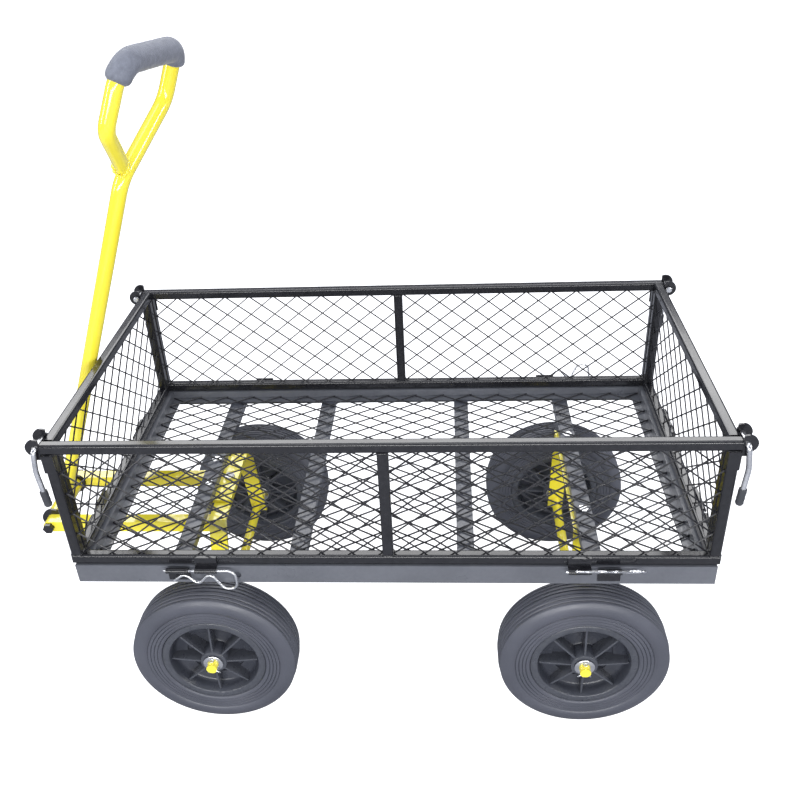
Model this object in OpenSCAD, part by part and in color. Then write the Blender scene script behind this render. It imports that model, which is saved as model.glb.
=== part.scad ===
/* [Tray] */
// Length of the tray
tray_l = 894; // [700:1:1000]
// Width of the tray
tray_w = 486; // [430:1:560]
// Height of the tray's rim above the ground
tray_top = 330; // [318:1:380]
// Height of the folded tray rim
tray_h = 31; // [29:1:40]
// Thickness of the folded sheet
sheet_t = 1.8; // [1.5:0.1:2]
// Columns of diamonds in the deck mesh
deck_cols = 12; // [6:1:24]
// Rows of diamonds in the deck mesh
deck_rows = 9; // [6:1:20]

/* [Side panels] */
// Height from the tray's rim to the top of the panels
side_h = 205; // [150:1:260]
// Outer width across the two long panels
panel_span_y = 483; // [430:1:560]
// Outer length over the two end panels
panel_span_x = 900; // [700:1:1000]
// Side of the square tube
tube = 15; // [12:1:20]
// Wall of the square tube
tube_wall = 1.2; // [1:0.1:2]
// Gap between the tray's rim and a panel
panel_lift = 1.5; // [1:0.1:3]

/* [Wheels] */
// Tyre radius
wheel_r = 127; // [100:1:135]
// Tyre width
wheel_w = 60; // [45:1:70]
// Radius of the plastic rim
rim_r = 80; // [65:1:90]
// Distance from the centre to a wheel's inner face
wheel_in_y = 178; // [172:1:190]
// Position of the rear axle
rear_axle_x = 283; // [250:1:300]
// Position of the steering pivot and the front axle
front_axle_x = -278; // [-300:1:-250]
// Diameter of an axle
axle_d = 16; // [12:1:18]

/* [Handle] */
// Height of the handle's pivot above the ground
pivot_z = 254; // [240:1:260]
// Position of the handle's pivot
pivot_x = -571; // [-590:1:-568]
// Lean of the parked handle over the front panel
lean = 20.9; // [18:0.1:20.9]
// Diameter of the handle's tube
handle_d = 22; // [18:1:24]
// Distance between the two tongue arms
arm_gap = 100; // [80:1:120]

/* [Hidden] */
$fn = 48;

deck_x = 56.5; // moves the cart so that its box is centred over the origin
fit = 0.05; // radial clearance of a pin or shaft
gap = 0.5; // clearance between neighbouring panels
black = [0.05, 0.05, 0.06];
tray_grey = [0.2, 0.2, 0.22];
zinc = [0.8, 0.8, 0.82];
yellow = [1, 0.87, 0.1];
rubber = [0.13, 0.14, 0.15];

// Tray rim: an outer face, a top flange and an inner ledge that carries the mesh
flange_w = 18;
ledge_w = 32;
ledge_z = -14;
lip_w = 12;
deck_t = 3;
mitre_d = 60;

// Cross members: channels of this width under the mesh
cross_w = 25;
cross_x = [-305, -135, 108, 287];

// Panels
panel_z0 = tray_top + panel_lift;
panel_z1 = tray_top + side_h;
window_h = side_h - panel_lift - 2 * tube;
long_l = panel_span_x - 2 * gap;
end_l = panel_span_y - 2 * tube - 2 * gap;
long_window = (long_l - 3 * tube) / 2;
end_window = end_l - 2 * tube;
mesh_t = 2;
tube_corner = 3.5;
wire_t = 2.2;

// Hinges: the clip's straight leg is the pin through both knuckles
pin_r = 1.8;
knuckle_r = 4;
knuckle_bore = pin_r + 0.35;
leaf_t = 2;
hinge_z = tray_top - 2.5;
long_hinge_y = tray_w / 2 + 8;
end_hinge_x = panel_span_x / 2 + 8.5;
// Start of each station along its rim, then 1 where the tray's knuckle comes first
long_stations = [[-313, 1], [246, 0]];
end_stations = [[-150, 1], [90, 0]];
knuckle_l = 31;
knuckle_step = 41; // from one knuckle's start to the next one's

// Clip: hairpin of wire, as corners along and below the straight leg, with their radii
clip_pts = [[-3, 0], [98, 0], [98, -33], [79, -33], [62, -4], [43, -25], [25, -6], [9, -18]];
clip_bends = [0, 9, 9, 9, 5, 5, 5, 0];
clip_tilt = 135; // the left and right rear clips stand turned up by this much

// Corner latches
ear_r = 13;
ear_t = 3;
ear_drop = 5; // how far the bracket reaches below its ears
ear_foot = 2;
ear_x = panel_span_x / 2 + 5.5;
ear_z = panel_z1 - 4;
ear_outer = panel_span_y / 2 - 0.5;
ear_inner = ear_outer - 29;
rod_r = 3.75;
lever_y = ear_outer + 5;
// Lever below the latch rod: it leans out, then turns back in
lever_lean = 8;
lever_turn = 12;
lever_upper = 34;
lever_lower = 32;
latch_grip_r = 5.5;
latch_grip_l = 25;

// Axle brackets
strap_w = 27;
strap_t = 5;
cross_z0 = tray_top - tray_h + sheet_t; // underside of the cross members
swivel_t = 5;
rear_strap_z1 = cross_z0; // top face of the rear bracket
front_strap_z1 = cross_z0 - swivel_t - gap; // top face of the front one, under the swivel plate
strap_z0 = wheel_r - 19;
rear_strap_x = rear_axle_x;
wheel_out_y = wheel_in_y + wheel_w;
axle_end = wheel_out_y + 13;
hub_r = 21;
bush_r = 12;
washer_r = 15;

king_r = 6;

// Tongue and handle
arm_w = 20;
arm_z = pivot_z;
arm_y = (arm_gap + arm_w) / 2;
handle_r = handle_d / 2;
grip_r = 17;
sleeve_r = 14;
twist = 11.5;
// Loop of the handle: corners across and along the tube, with their radii
loop_s = 560; // where the loop starts along the tube
loop_top = 767;
loop_right = 90;
loop_left = -60;
loop_pts = [[0, loop_s], [0, 596], [loop_right, 694], [loop_right, loop_top],
    [loop_left, loop_top], [-67, 679], [0, 613]];
loop_bends = [0, 45, 45, 22, 22, 30, 0];
grip_pts = [[loop_right, 738], [loop_right, loop_top], [loop_left, loop_top], [-62.3, 738]];
grip_bends = [0, 22, 22, 0];

// ---- helpers ----

module place() translate([deck_x, 0, 0]) children();

// Round bar from point a to point b
module rod(a, b, r) {
    d = b - a;
    len = norm(d);
    translate(a)
        rotate([0, acos(d[2] / len), atan2(d[1], d[0])])
            cylinder(r = r, h = len);
}

function heading(a, b) = atan2(b[1] - a[1], b[0] - a[0]);
function turn(pts, i) =
    let (d = heading(pts[i], pts[i + 1]) - heading(pts[i - 1], pts[i]))
        d > 180 ? d - 360 : d < -180 ? d + 360 : d;
// Length of straight that a rounded corner takes up
function corner_cut(pts, bends, i) =
    i == 0 || i == len(pts) - 1 ? 0 : bends[i] * tan(abs(turn(pts, i)) / 2);

// Points and headings along a path in the XY plane whose corners are rounded
function corner_stations(pts, bends, i) =
    let (a = heading(pts[i - 1], pts[i]),
        t = turn(pts, i),
        side = t > 0 ? 1 : -1,
        start = pts[i] - corner_cut(pts, bends, i) * [cos(a), sin(a)],
        centre = start + side * bends[i] * [-sin(a), cos(a)],
        steps = ceil(abs(t) / 15))
    [for (k = [0 : steps])
        let (h = a + t * k / steps)
            [centre - side * bends[i] * [-sin(h), cos(h)], h]];

function path_stations(pts, bends) =
    let (n = len(pts))
    concat([[pts[0], heading(pts[0], pts[1])]],
        [for (i = [1 : 1 : n - 2], p = corner_stations(pts, bends, i)) p],
        [[pts[n - 1], heading(pts[n - 2], pts[n - 1])]]);

function ring(p, r, sides) =
    [for (j = [0 : sides - 1])
        let (f = 360 * j / sides)
            [p[0][0] - sin(p[1]) * r * cos(f), p[0][1] + cos(p[1]) * r * cos(f), r * sin(f)]];

// Bent wire in the XY plane
module bent_rod(pts, bends, r, sides = 8) {
    st = path_stations(pts, bends);
    last = (len(st) - 1) * sides;
    polyhedron(
        [for (p = st, q = ring(p, r, sides)) q],
        concat(
            [[for (j = [0 : sides - 1]) j]],
            [for (i = [0 : len(st) - 2], j = [0 : sides - 1])
                let (k = (j + 1) % sides)
                    [i * sides + j, (i + 1) * sides + j, (i + 1) * sides + k, i * sides + k]],
            [[for (j = [sides - 1 : -1 : 0]) last + j]]));
}

// Bent tube in the XY plane, open at both ends
module bent_tube(pts, bends, r, bore, sides = 16) {
    st = path_stations(pts, bends);
    n = len(st);
    inner = n * sides;
    last = (n - 1) * sides;
    polyhedron(
        concat([for (p = st, q = ring(p, r, sides)) q], [for (p = st, q = ring(p, bore, sides)) q]),
        [for (j = [0 : sides - 1])
            let (k = (j + 1) % sides)
                each concat(
                    [for (i = [0 : n - 2])
                        [i * sides + j, (i + 1) * sides + j, (i + 1) * sides + k, i * sides + k]],
                    [for (i = [0 : n - 2])
                        [inner + i * sides + k, inner + (i + 1) * sides + k,
                            inner + (i + 1) * sides + j, inner + i * sides + j]],
                    [[j, k, inner + k, inner + j],
                        [last + k, last + j, inner + last + j, inner + last + k]])]);
}

module rounded_square(w, r) {
    square([w - 2 * r, w], center = true);
    square([w, w - 2 * r], center = true);
    for (x = [-1, 1], y = [-1, 1])
        translate([x * (w / 2 - r), y * (w / 2 - r)])
            circle(r = r);
}

// Hollow square tube along Z, centred in X and Y
module square_tube(length, w = tube) {
    linear_extrude(length)
        difference() {
            rounded_square(w, tube_corner);
            square(w - 2 * tube_wall, center = true);
        }
}

// Hollow square tube along X, centred on the origin
module tube_x(length, w = tube)
    translate([-length / 2, 0, 0])
        rotate([0, 90, 0])
            square_tube(length, w);

// ---- tray ----

// Folded rim along X with mitred ends, its outer face at y = 0 and its top at z = 0
module tray_rail(length) {
    profile = [[0, 0], [flange_w, 0], [flange_w, ledge_z], [ledge_w, ledge_z],
        [ledge_w, ledge_z - sheet_t], [flange_w - sheet_t, ledge_z - sheet_t],
        [flange_w - sheet_t, -sheet_t], [sheet_t, -sheet_t], [sheet_t, -tray_h + sheet_t],
        [lip_w, -tray_h + sheet_t], [lip_w, -tray_h], [0, -tray_h]];
    half = length / 2;
    intersection() {
        rotate([90, 0, 90])
            linear_extrude(length, center = true)
                polygon(profile);
        translate([0, 0, -tray_h - 1])
            linear_extrude(tray_h + 2)
                polygon([[-half, 0], [half, 0], [half - mitre_d, mitre_d],
                    [mitre_d - half, mitre_d]]);
    }
}

module long_tray_rail() {
    translate([0, -tray_w / 2, tray_top])
        difference() {
            tray_rail(tray_l);
            translate([-215, -1, -17])
                rotate([-90, 0, 0])
                    cylinder(r = 5.5, h = sheet_t + 2);
        }
}

module end_tray_rail()
    translate([-tray_l / 2, 0, tray_top])
        rotate([0, 0, -90])
            tray_rail(tray_w);

// Corners of one diamond hole, or of the half beside an edge when cut is not 0
function diamond(x, y, a, b) = [[x - a, y], [x, y - b], [x + a, y], [x, y + b]];

// Flat sheet of welded wire with diamond holes
module diamond_sheet(w, h, cols, rows, t) {
    cw = w / cols;
    ch = h / rows;
    shrink = 1 - wire_t * norm([cw, ch]) / (cw * ch);
    a = cw / 2 * shrink;
    b = ch / 2 * shrink;
    e = wire_t / 2;
    full = concat(
        [for (i = [0 : cols - 1], j = [0 : rows - 1])
            diamond((i + 0.5) * cw, (j + 0.5) * ch, a, b)],
        [for (i = [1 : cols - 1], j = [1 : rows - 1])
            diamond(i * cw, j * ch, a, b)]);
    sides = concat(
        [for (j = [1 : rows - 1])
            [[e, j * ch - b * (1 - e / a)], [a, j * ch], [e, j * ch + b * (1 - e / a)]]],
        [for (j = [1 : rows - 1])
            [[w - e, j * ch + b * (1 - e / a)], [w - a, j * ch],
                [w - e, j * ch - b * (1 - e / a)]]],
        [for (i = [1 : cols - 1])
            [[i * cw + a * (1 - e / b), e], [i * cw, b], [i * cw - a * (1 - e / b), e]]],
        [for (i = [1 : cols - 1])
            [[i * cw - a * (1 - e / b), h - e], [i * cw, h - b],
                [i * cw + a * (1 - e / b), h - e]]]);
    outline = [[0, 0], [w, 0], [w, h], [0, h]];
    loops = concat([outline], full, sides);
    holed_sheet(loops, t);
}

// One polygon whose first loop is the outline and whose other loops are holes
module holed_sheet(loops, t) {
    starts = [for (i = 0, n = 0; i < len(loops); n = n + len(loops[i]), i = i + 1) n];
    linear_extrude(t)
        polygon([for (l = loops, p = l) p],
            [for (i = [0 : len(loops) - 1]) [for (k = [0 : len(loops[i]) - 1]) starts[i] + k]]);
}

module deck_mesh() {
    w = tray_l - 2 * flange_w - 1;
    h = tray_w - 2 * flange_w - 1;
    color(black)
        place()
            translate([-w / 2, -h / 2, tray_top + ledge_z])
                diamond_sheet(w, h, deck_cols, deck_rows, deck_t);
}

// Inverted channels across the tray, under the ledge and on the bottom lip
module cross_members() {
    height = tray_h + ledge_z - 2 * sheet_t;
    color(tray_grey)
        place()
            for (x = cross_x)
                translate([x, 0, tray_top - tray_h + sheet_t])
                    difference() {
                        translate([-cross_w / 2, -tray_w / 2 + sheet_t, 0])
                            cube([cross_w, tray_w - 2 * sheet_t, height]);
                        translate([-cross_w / 2 + sheet_t, -tray_w / 2, -1])
                            cube([cross_w - 2 * sheet_t, tray_w, height - sheet_t + 1]);
                    }
}

// ---- hinges ----

// Barrel along X from x = 0, centred on the hinge axis
module knuckle()
    rotate([0, 90, 0])
        cylinder(r = knuckle_r, h = knuckle_l);

module knuckle_hole()
    translate([-1, 0, 0])
        rotate([0, 90, 0])
            cylinder(r = knuckle_bore, h = knuckle_l + 2);

// Tray's knuckle: d is how far the hinge axis stands off the tray's face (towards +y)
module tray_knuckle(d) {
    difference() {
        union() {
            knuckle();
            translate([0, 0, -knuckle_r])
                cube([knuckle_l, d, 1.7]);
            translate([0, d - leaf_t, -22])
                cube([knuckle_l, leaf_t, 22 - knuckle_r + 1.7]);
        }
        knuckle_hole();
    }
}

// Panel's knuckle: d is how far the hinge axis stands off the panel's face
module panel_knuckle(d) {
    z0 = panel_z0 - hinge_z;
    reach = d - leaf_t;
    difference() {
        union() {
            knuckle();
            translate([0, 0, 2.3])
                cube([knuckle_l, reach, 1.7]);
            translate([0, reach - leaf_t, 2.3])
                cube([knuckle_l, leaf_t, z0 + tube - 2.3]);
            translate([0, reach - leaf_t, z0])
                cube([knuckle_l, d - reach + leaf_t, tube]);
        }
        knuckle_hole();
    }
}

function tray_first(s) = s[0] + (s[1] == 1 ? 0 : knuckle_step);
function panel_first(s) = s[0] + (s[1] == 1 ? knuckle_step : 0);

module tray_knuckle_row(stations, d)
    for (s = stations)
        translate([tray_first(s), 0, 0])
            tray_knuckle(d);

module panel_knuckle_row(stations, d)
    for (s = stations)
        translate([panel_first(s), 0, 0])
            panel_knuckle(d);

module on_left_hinge()
    translate([0, -long_hinge_y, hinge_z])
        children();

// Frame of reference of an end hinge: local x runs along the rim, local y inward
module on_front_hinge()
    translate([-end_hinge_x, 0, hinge_z])
        rotate([0, 0, -90])
            children();

module tray_hinge_knuckles() {
    color(tray_grey)
        place() {
            for (m = [0, 1])
                mirror([0, m, 0])
                    on_left_hinge()
                        tray_knuckle_row(long_stations, long_hinge_y - tray_w / 2);
            for (m = [0, 1])
                mirror([m, 0, 0])
                    on_front_hinge()
                        tray_knuckle_row(end_stations, end_hinge_x - tray_l / 2);
        }
}

// ---- long panels ----

module long_frame() {
    y = -panel_span_y / 2 + tube / 2;
    post_x = long_l / 2 - tube / 2;
    for (z = [panel_z0 + tube / 2, panel_z1 - tube / 2])
        translate([0, y, z])
            tube_x(long_l);
    for (x = [-post_x, 0, post_x])
        translate([x, y, panel_z0 + tube])
            square_tube(window_h);
}

module long_mesh() {
    for (x = [-long_window - tube / 2, tube / 2])
        translate([x, -panel_span_y / 2 + tube / 2 + mesh_t / 2, panel_z0 + tube])
            rotate([90, 0, 0])
                diamond_sheet(long_window, window_h, 8, 4, mesh_t);
}

// Hinge leaves and the striker plates under the ends of the top rail
module long_fittings() {
    on_left_hinge()
        panel_knuckle_row(long_stations, long_hinge_y - panel_span_y / 2);
    for (m = [0, 1])
        mirror([m, 0, 0])
            translate([-long_l / 2, -panel_span_y / 2 - 2.5, panel_z1 - tube - 27])
                cube([16, 2.5, 27]);
}

module left_side() place() children();
module right_side() place() mirror([0, 1, 0]) children();

module left_panel_frame() color(black) left_side() long_frame();
module left_panel_mesh() color(black) left_side() long_mesh();
module left_panel_fittings() color(black) left_side() long_fittings();
module right_panel_frame() color(black) right_side() long_frame();
module right_panel_mesh() color(black) right_side() long_mesh();
module right_panel_fittings() color(black) right_side() long_fittings();

// ---- end panels ----

module end_frame() {
    x = -panel_span_x / 2 + tube / 2;
    post_y = end_l / 2 - tube / 2;
    for (z = [panel_z0 + tube / 2, panel_z1 - tube / 2])
        translate([x, 0, z])
            rotate([0, 0, 90])
                tube_x(end_l);
    for (y = [-post_y, post_y])
        translate([x, y, panel_z0 + tube])
            square_tube(window_h);
}

module end_mesh()
    translate([-panel_span_x / 2 + tube / 2 - mesh_t / 2, -end_window / 2, panel_z0 + tube])
        rotate([90, 0, 90])
            diamond_sheet(end_window, window_h, 8, 4, mesh_t);

// Ear of a latch bracket, lying in the XZ plane with its face at y = 0
module ear() {
    difference() {
        intersection() {
            rotate([90, 0, 0])
                linear_extrude(ear_t) {
                    translate([-ear_x, ear_z])
                        circle(r = ear_r);
                    translate([-ear_x - ear_foot, ear_z - ear_r - ear_drop])
                        square([ear_x, ear_r + ear_drop]);
                }
            translate([-panel_span_x / 2 - 2 * ear_r, -ear_t, 0])
                cube([2 * ear_r, ear_t, panel_z1 + ear_r]);
        }
        translate([-ear_x, 1, ear_z])
            rotate([90, 0, 0])
                cylinder(r = rod_r + fit, h = ear_t + 2);
    }
}

// U bracket at the left corner of the front panel: two ears on one plate below the rod
module latch_bracket() {
    translate([0, -ear_outer + ear_t, 0])
        ear();
    translate([0, -ear_inner, 0])
        ear();
    translate([-panel_span_x / 2 - ear_t, -ear_outer + ear_t, ear_z - ear_r - ear_drop])
        cube([ear_t, ear_outer - ear_inner - 2 * ear_t, ear_r + ear_drop - 6]);
}

module end_fittings() {
    on_front_hinge()
        panel_knuckle_row(end_stations, end_hinge_x - panel_span_x / 2);
    for (m = [0, 1])
        mirror([0, m, 0])
            latch_bracket();
}

module front_side() place() children();
module rear_side() place() mirror([1, 0, 0]) children();

module front_panel_frame() color(black) front_side() end_frame();
module front_panel_mesh() color(black) front_side() end_mesh();
module front_panel_fittings() color(black) front_side() end_fittings();
module rear_panel_frame() color(black) rear_side() end_frame();
module rear_panel_mesh() color(black) rear_side() end_mesh();
module rear_panel_fittings() color(black) rear_side() end_fittings();

// ---- corner latches ----

// Puts a 2D path of x outward and y down into the lever's plane
module on_lever()
    translate([-ear_x, -lever_y, ear_z])
        rotate([0, lever_lean, 0])
            rotate([90, 0, 0])
                children();

function lever_end(l) = [l * sin(lever_turn), -lever_upper - l * cos(lever_turn)];

// Rod through both ears with a head inside, bent down outside into a lever
module latch_rod() {
    head_l = 3;
    inner_y = -ear_inner + gap;
    rod([-ear_x, inner_y + head_l, ear_z], [-ear_x, -lever_y - rod_r, ear_z], rod_r);
    rod([-ear_x, inner_y, ear_z], [-ear_x, inner_y + head_l, ear_z], rod_r + 1.2);
    on_lever()
        bent_rod([[0, 0], [0, -lever_upper], lever_end(lever_lower)], [0, 60, 0], rod_r - 0.2, 12);
}

module latch_grip()
    on_lever()
        translate(lever_end(lever_lower))
            rotate([90, 0, lever_turn])
                cylinder(r = latch_grip_r, h = latch_grip_l);

module corner(mx, my) place() mirror([mx, 0, 0]) mirror([0, my, 0]) children();

module latch_rod_front_left() color(zinc) corner(0, 0) latch_rod();
module latch_rod_front_right() color(zinc) corner(0, 1) latch_rod();
module latch_rod_rear_left() color(zinc) corner(1, 0) latch_rod();
module latch_rod_rear_right() color(zinc) corner(1, 1) latch_rod();
module latch_grip_front_left() color(black) corner(0, 0) latch_grip();
module latch_grip_front_right() color(black) corner(0, 1) latch_grip();
module latch_grip_rear_left() color(black) corner(1, 0) latch_grip();
module latch_grip_rear_right() color(black) corner(1, 1) latch_grip();

// ---- hairpin clips ----

// Clip whose straight leg lies on the hinge axis, turned up about that axis by tilt
module clip(start, tilt = 0)
    translate([start, 0, 0])
        rotate([tilt, 0, 0])
            rotate([90, 0, 0])
                bent_rod(clip_pts, clip_bends, pin_r);

module clip_left_front() color(zinc) left_side() on_left_hinge() clip(long_stations[0][0]);
module clip_right_front() color(zinc) right_side() on_left_hinge() clip(long_stations[0][0]);
module clip_left_rear()
    color(zinc) left_side() on_left_hinge() clip(long_stations[1][0], -clip_tilt);
module clip_right_rear()
    color(zinc) right_side() on_left_hinge() clip(long_stations[1][0], -clip_tilt);
module clip_rear_left() color(zinc) rear_side() on_front_hinge() clip(end_stations[1][0]);
module clip_rear_right() color(zinc) rear_side() on_front_hinge() clip(end_stations[0][0]);
module front_panel_clips()
    color(zinc)
        front_side()
            on_front_hinge()
                for (s = end_stations)
                    clip(s[0]);

// ---- running gear ----

// Bent strap: a flat top at z1 and two legs that spread down to the axle
module strap(top_y, foot_y, z1) {
    k = strap_t * norm([foot_y - top_y, z1 - strap_z0]) / (z1 - strap_z0);
    outer = [[-foot_y, strap_z0], [-top_y, z1], [top_y, z1], [foot_y, strap_z0]];
    inner = [[foot_y - k, strap_z0], [top_y - k, z1 - strap_t],
        [k - top_y, z1 - strap_t], [k - foot_y, strap_z0]];
    difference() {
        translate([-strap_w / 2, 0, 0])
            rotate([90, 0, 90])
                linear_extrude(strap_w)
                    polygon(concat(outer, inner));
        translate([0, foot_y + 1, wheel_r])
            rotate([90, 0, 0])
                cylinder(r = axle_d / 2 + fit, h = 2 * foot_y + 2);
    }
}

module axle()
    translate([0, axle_end, wheel_r])
        rotate([90, 0, 0])
            cylinder(r = axle_d / 2, h = 2 * axle_end);

// Washers on both sides of each wheel, and the cotter pins outside them
module axle_washers() {
    washer_t = 2;
    for (m = [0, 1])
        mirror([0, m, 0]) {
            for (y = [wheel_in_y - 1 - washer_t, wheel_out_y + 1])
                translate([0, y, wheel_r])
                    rotate([-90, 0, 0])
                        difference() {
                            cylinder(r = washer_r, h = washer_t);
                            translate([0, 0, -1])
                                cylinder(r = axle_d / 2 + fit, h = washer_t + 2);
                        }
            for (z = [-1, 1])
                rod([0, wheel_out_y + 6, wheel_r + z * axle_d / 2],
                    [0, wheel_out_y + 6, wheel_r + z * (axle_d / 2 + 7)], 1.6);
        }
}

module rear_bracket()
    color(yellow)
        place()
            translate([rear_strap_x, 0, 0])
                strap(132, 164, rear_strap_z1);

module rear_axle() color(yellow) place() translate([rear_axle_x, 0, 0]) axle();
module rear_axle_washers() color(zinc) place() translate([rear_axle_x, 0, 0]) axle_washers();

// Turning bracket: the strap, and a tab for each tongue arm on its front edge
module front_bracket() {
    tab_w = arm_w + 10;
    tab_z = arm_z - arm_w / 2 - 3;
    color(yellow)
        place()
            translate([front_axle_x, 0, 0])
                difference() {
                    union() {
                        strap(102, 156, front_strap_z1);
                        for (y = [-arm_y, arm_y])
                            translate([-strap_w / 2, y - tab_w / 2, tab_z])
                                cube([4, tab_w, front_strap_z1 - strap_t - tab_z]);
                    }
                    translate([0, 0, front_strap_z1 - strap_t - 1])
                        cylinder(r = king_r + fit, h = strap_t + 2);
                }
}

module front_axle() color(yellow) place() translate([front_axle_x, 0, 0]) axle();
module front_axle_washers() color(zinc) place() translate([front_axle_x, 0, 0]) axle_washers();

// Plate under the first cross member that carries the steering pivot
module swivel_plate()
    color(yellow)
        place()
            difference() {
                translate([cross_x[0] - cross_w / 2, -60, cross_z0 - swivel_t])
                    cube([front_axle_x + strap_w / 2 - cross_x[0] + cross_w / 2, 120, swivel_t]);
                translate([front_axle_x, 0, cross_z0 - swivel_t - 1])
                    cylinder(r = king_r + fit, h = swivel_t + 2);
            }

// Steering pivot: a bolt whose head sits on the plate and whose nut is under the bracket
module king_bolt() {
    nut_top = front_strap_z1 - strap_t - gap;
    nut_h = 9;
    color(zinc)
        place()
            translate([front_axle_x, 0, 0]) {
                translate([0, 0, nut_top - nut_h - 4])
                    cylinder(r = king_r, h = cross_z0 - nut_top + nut_h + 4);
                translate([0, 0, cross_z0])
                    cylinder(r = 9, h = 5, $fn = 6);
                translate([0, 0, nut_top - nut_h])
                    cylinder(r = 10.5, h = nut_h, $fn = 6);
            }
}

// Bolts that hold the rear bracket and the swivel plate to the cross members
module bracket_bolts() {
    places = [[cross_x[3], -100], [cross_x[3], 100], [cross_x[0], -32], [cross_x[0], 32]];
    top = tray_top + ledge_z - sheet_t;
    color(zinc)
        place()
            for (p = places)
                translate([p[0], p[1], top])
                    cylinder(r = 8, h = 1.6, $fn = 6);
}

// ---- tongue and handle ----

// Two square arms from the bracket to the handle's pivot, with round ends
module tongue_arms() {
    x1 = front_axle_x - strap_w / 2;
    color(yellow)
        place()
            for (y = [-arm_y, arm_y])
                translate([pivot_x, y, arm_z])
                    difference() {
                        union() {
                            translate([0, -arm_w / 2, -arm_w / 2])
                                cube([x1 - pivot_x, arm_w, arm_w]);
                            translate([0, arm_w / 2, 0])
                                rotate([90, 0, 0])
                                    cylinder(r = arm_w / 2, h = arm_w);
                        }
                        translate([0, arm_w, 0])
                            rotate([90, 0, 0])
                                cylinder(r = 5 + fit, h = 2 * arm_w);
                    }
}

// Pivot bolt with its heads and the large black friction washers
module tongue_bolt() {
    outer = arm_y + arm_w / 2;
    inner = arm_y - arm_w / 2;
    color(rubber)
        place()
            translate([pivot_x, 0, arm_z])
                rotate([90, 0, 0]) {
                    cylinder(r = 5, h = 2 * outer, center = true);
                    for (m = [0, 1])
                        mirror([0, 0, m]) {
                            translate([0, 0, outer])
                                cylinder(r = 9, h = 7, $fn = 6);
                            translate([0, 0, inner - 4])
                                difference() {
                                    cylinder(r = 19, h = 4);
                                    translate([0, 0, -1])
                                        cylinder(r = 5 + fit, h = 6);
                                }
                        }
                }
}

// Handle's own frame: z along the tube from the pivot, y across the cart
module on_handle()
    place()
        translate([pivot_x, 0, pivot_z])
            rotate([0, lean, 0])
                children();

// Plane of the loop: x across, turned by the twist, and y along the tube
module on_loop()
    on_handle()
        rotate([0, 0, 90 - twist])
            rotate([90, 0, 0])
                children();

module handle_tube() {
    color(yellow) {
        on_handle()
            difference() {
                cylinder(r = handle_r, h = loop_s);
                cylinder(r = handle_r - 1.5, h = loop_s - 10);
                rotate([90, 0, 0])
                    cylinder(r = sleeve_r, h = 60, center = true);
            }
        on_loop()
            bent_rod(loop_pts, loop_bends, handle_r, 24);
    }
}

module handle_grip()
    color(rubber)
        on_loop()
            bent_tube(grip_pts, grip_bends, grip_r, handle_r + 0.3, 24);

// Cross tube at the foot of the handle, turning on the pivot bolt
module handle_sleeve()
    color(yellow)
        on_handle()
            rotate([90, 0, 0])
                difference() {
                    cylinder(r = sleeve_r, h = arm_gap - 10, center = true);
                    cylinder(r = 5 + fit, h = arm_gap, center = true);
                }

// ---- wheels ----

// Profiles: radius, then height across the wheel with the outer face at wheel_w
module tyre() {
    c = 9;
    rotate_extrude($fn = 96)
        polygon([[rim_r, 3], [wheel_r - 22, 0], [wheel_r - c, 1.5], [wheel_r - 2.5, c],
            [wheel_r, wheel_w / 2], [wheel_r - 2.5, wheel_w - c], [wheel_r - c, wheel_w - 1.5],
            [wheel_r - 22, wheel_w], [rim_r, wheel_w - 3]]);
}

module rim() {
    ring = rim_r - 12;
    web_z = wheel_w / 2;
    rotate_extrude($fn = 96)
        polygon([[rim_r, 3], [rim_r, wheel_w - 3], [ring, wheel_w - 3], [ring - 4, web_z + 3],
            [hub_r, web_z + 3], [hub_r, wheel_w], [bush_r, wheel_w], [bush_r, 0], [hub_r, 0],
            [hub_r, web_z - 3], [ring - 4, web_z - 3], [ring, 3]]);
    for (a = [0 : 45 : 315])
        rotate([0, 0, a])
            translate([hub_r - 1, -1.5, 8])
                cube([ring - 4 - hub_r + 2, 3, wheel_w - 16]);
}

module bush()
    difference() {
        cylinder(r = bush_r, h = wheel_w);
        translate([0, 0, -1])
            cylinder(r = axle_d / 2 + fit, h = wheel_w + 2);
    }

// Puts a wheel's parts on the left end of the axle at x, or mirrors them to the right
module at_wheel(x, right)
    place()
        mirror([0, right, 0])
            translate([x, -wheel_in_y, wheel_r])
                rotate([90, 0, 0])
                    children();

module tyre_front_left() color(rubber) at_wheel(front_axle_x, 0) tyre();
module tyre_front_right() color(rubber) at_wheel(front_axle_x, 1) tyre();
module tyre_rear_left() color(rubber) at_wheel(rear_axle_x, 0) tyre();
module tyre_rear_right() color(rubber) at_wheel(rear_axle_x, 1) tyre();
module rim_front_left() color(black) at_wheel(front_axle_x, 0) rim();
module rim_front_right() color(black) at_wheel(front_axle_x, 1) rim();
module rim_rear_left() color(black) at_wheel(rear_axle_x, 0) rim();
module rim_rear_right() color(black) at_wheel(rear_axle_x, 1) rim();
module bush_front_left() color(zinc) at_wheel(front_axle_x, 0) bush();
module bush_front_right() color(zinc) at_wheel(front_axle_x, 1) bush();
module bush_rear_left() color(zinc) at_wheel(rear_axle_x, 0) bush();
module bush_rear_right() color(zinc) at_wheel(rear_axle_x, 1) bush();

module tray_rail_left() color(tray_grey) place() long_tray_rail();
module tray_rail_right() color(tray_grey) place() mirror([0, 1, 0]) long_tray_rail();
module tray_rail_front() color(tray_grey) place() end_tray_rail();
module tray_rail_rear() color(tray_grey) place() mirror([1, 0, 0]) end_tray_rail();

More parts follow.
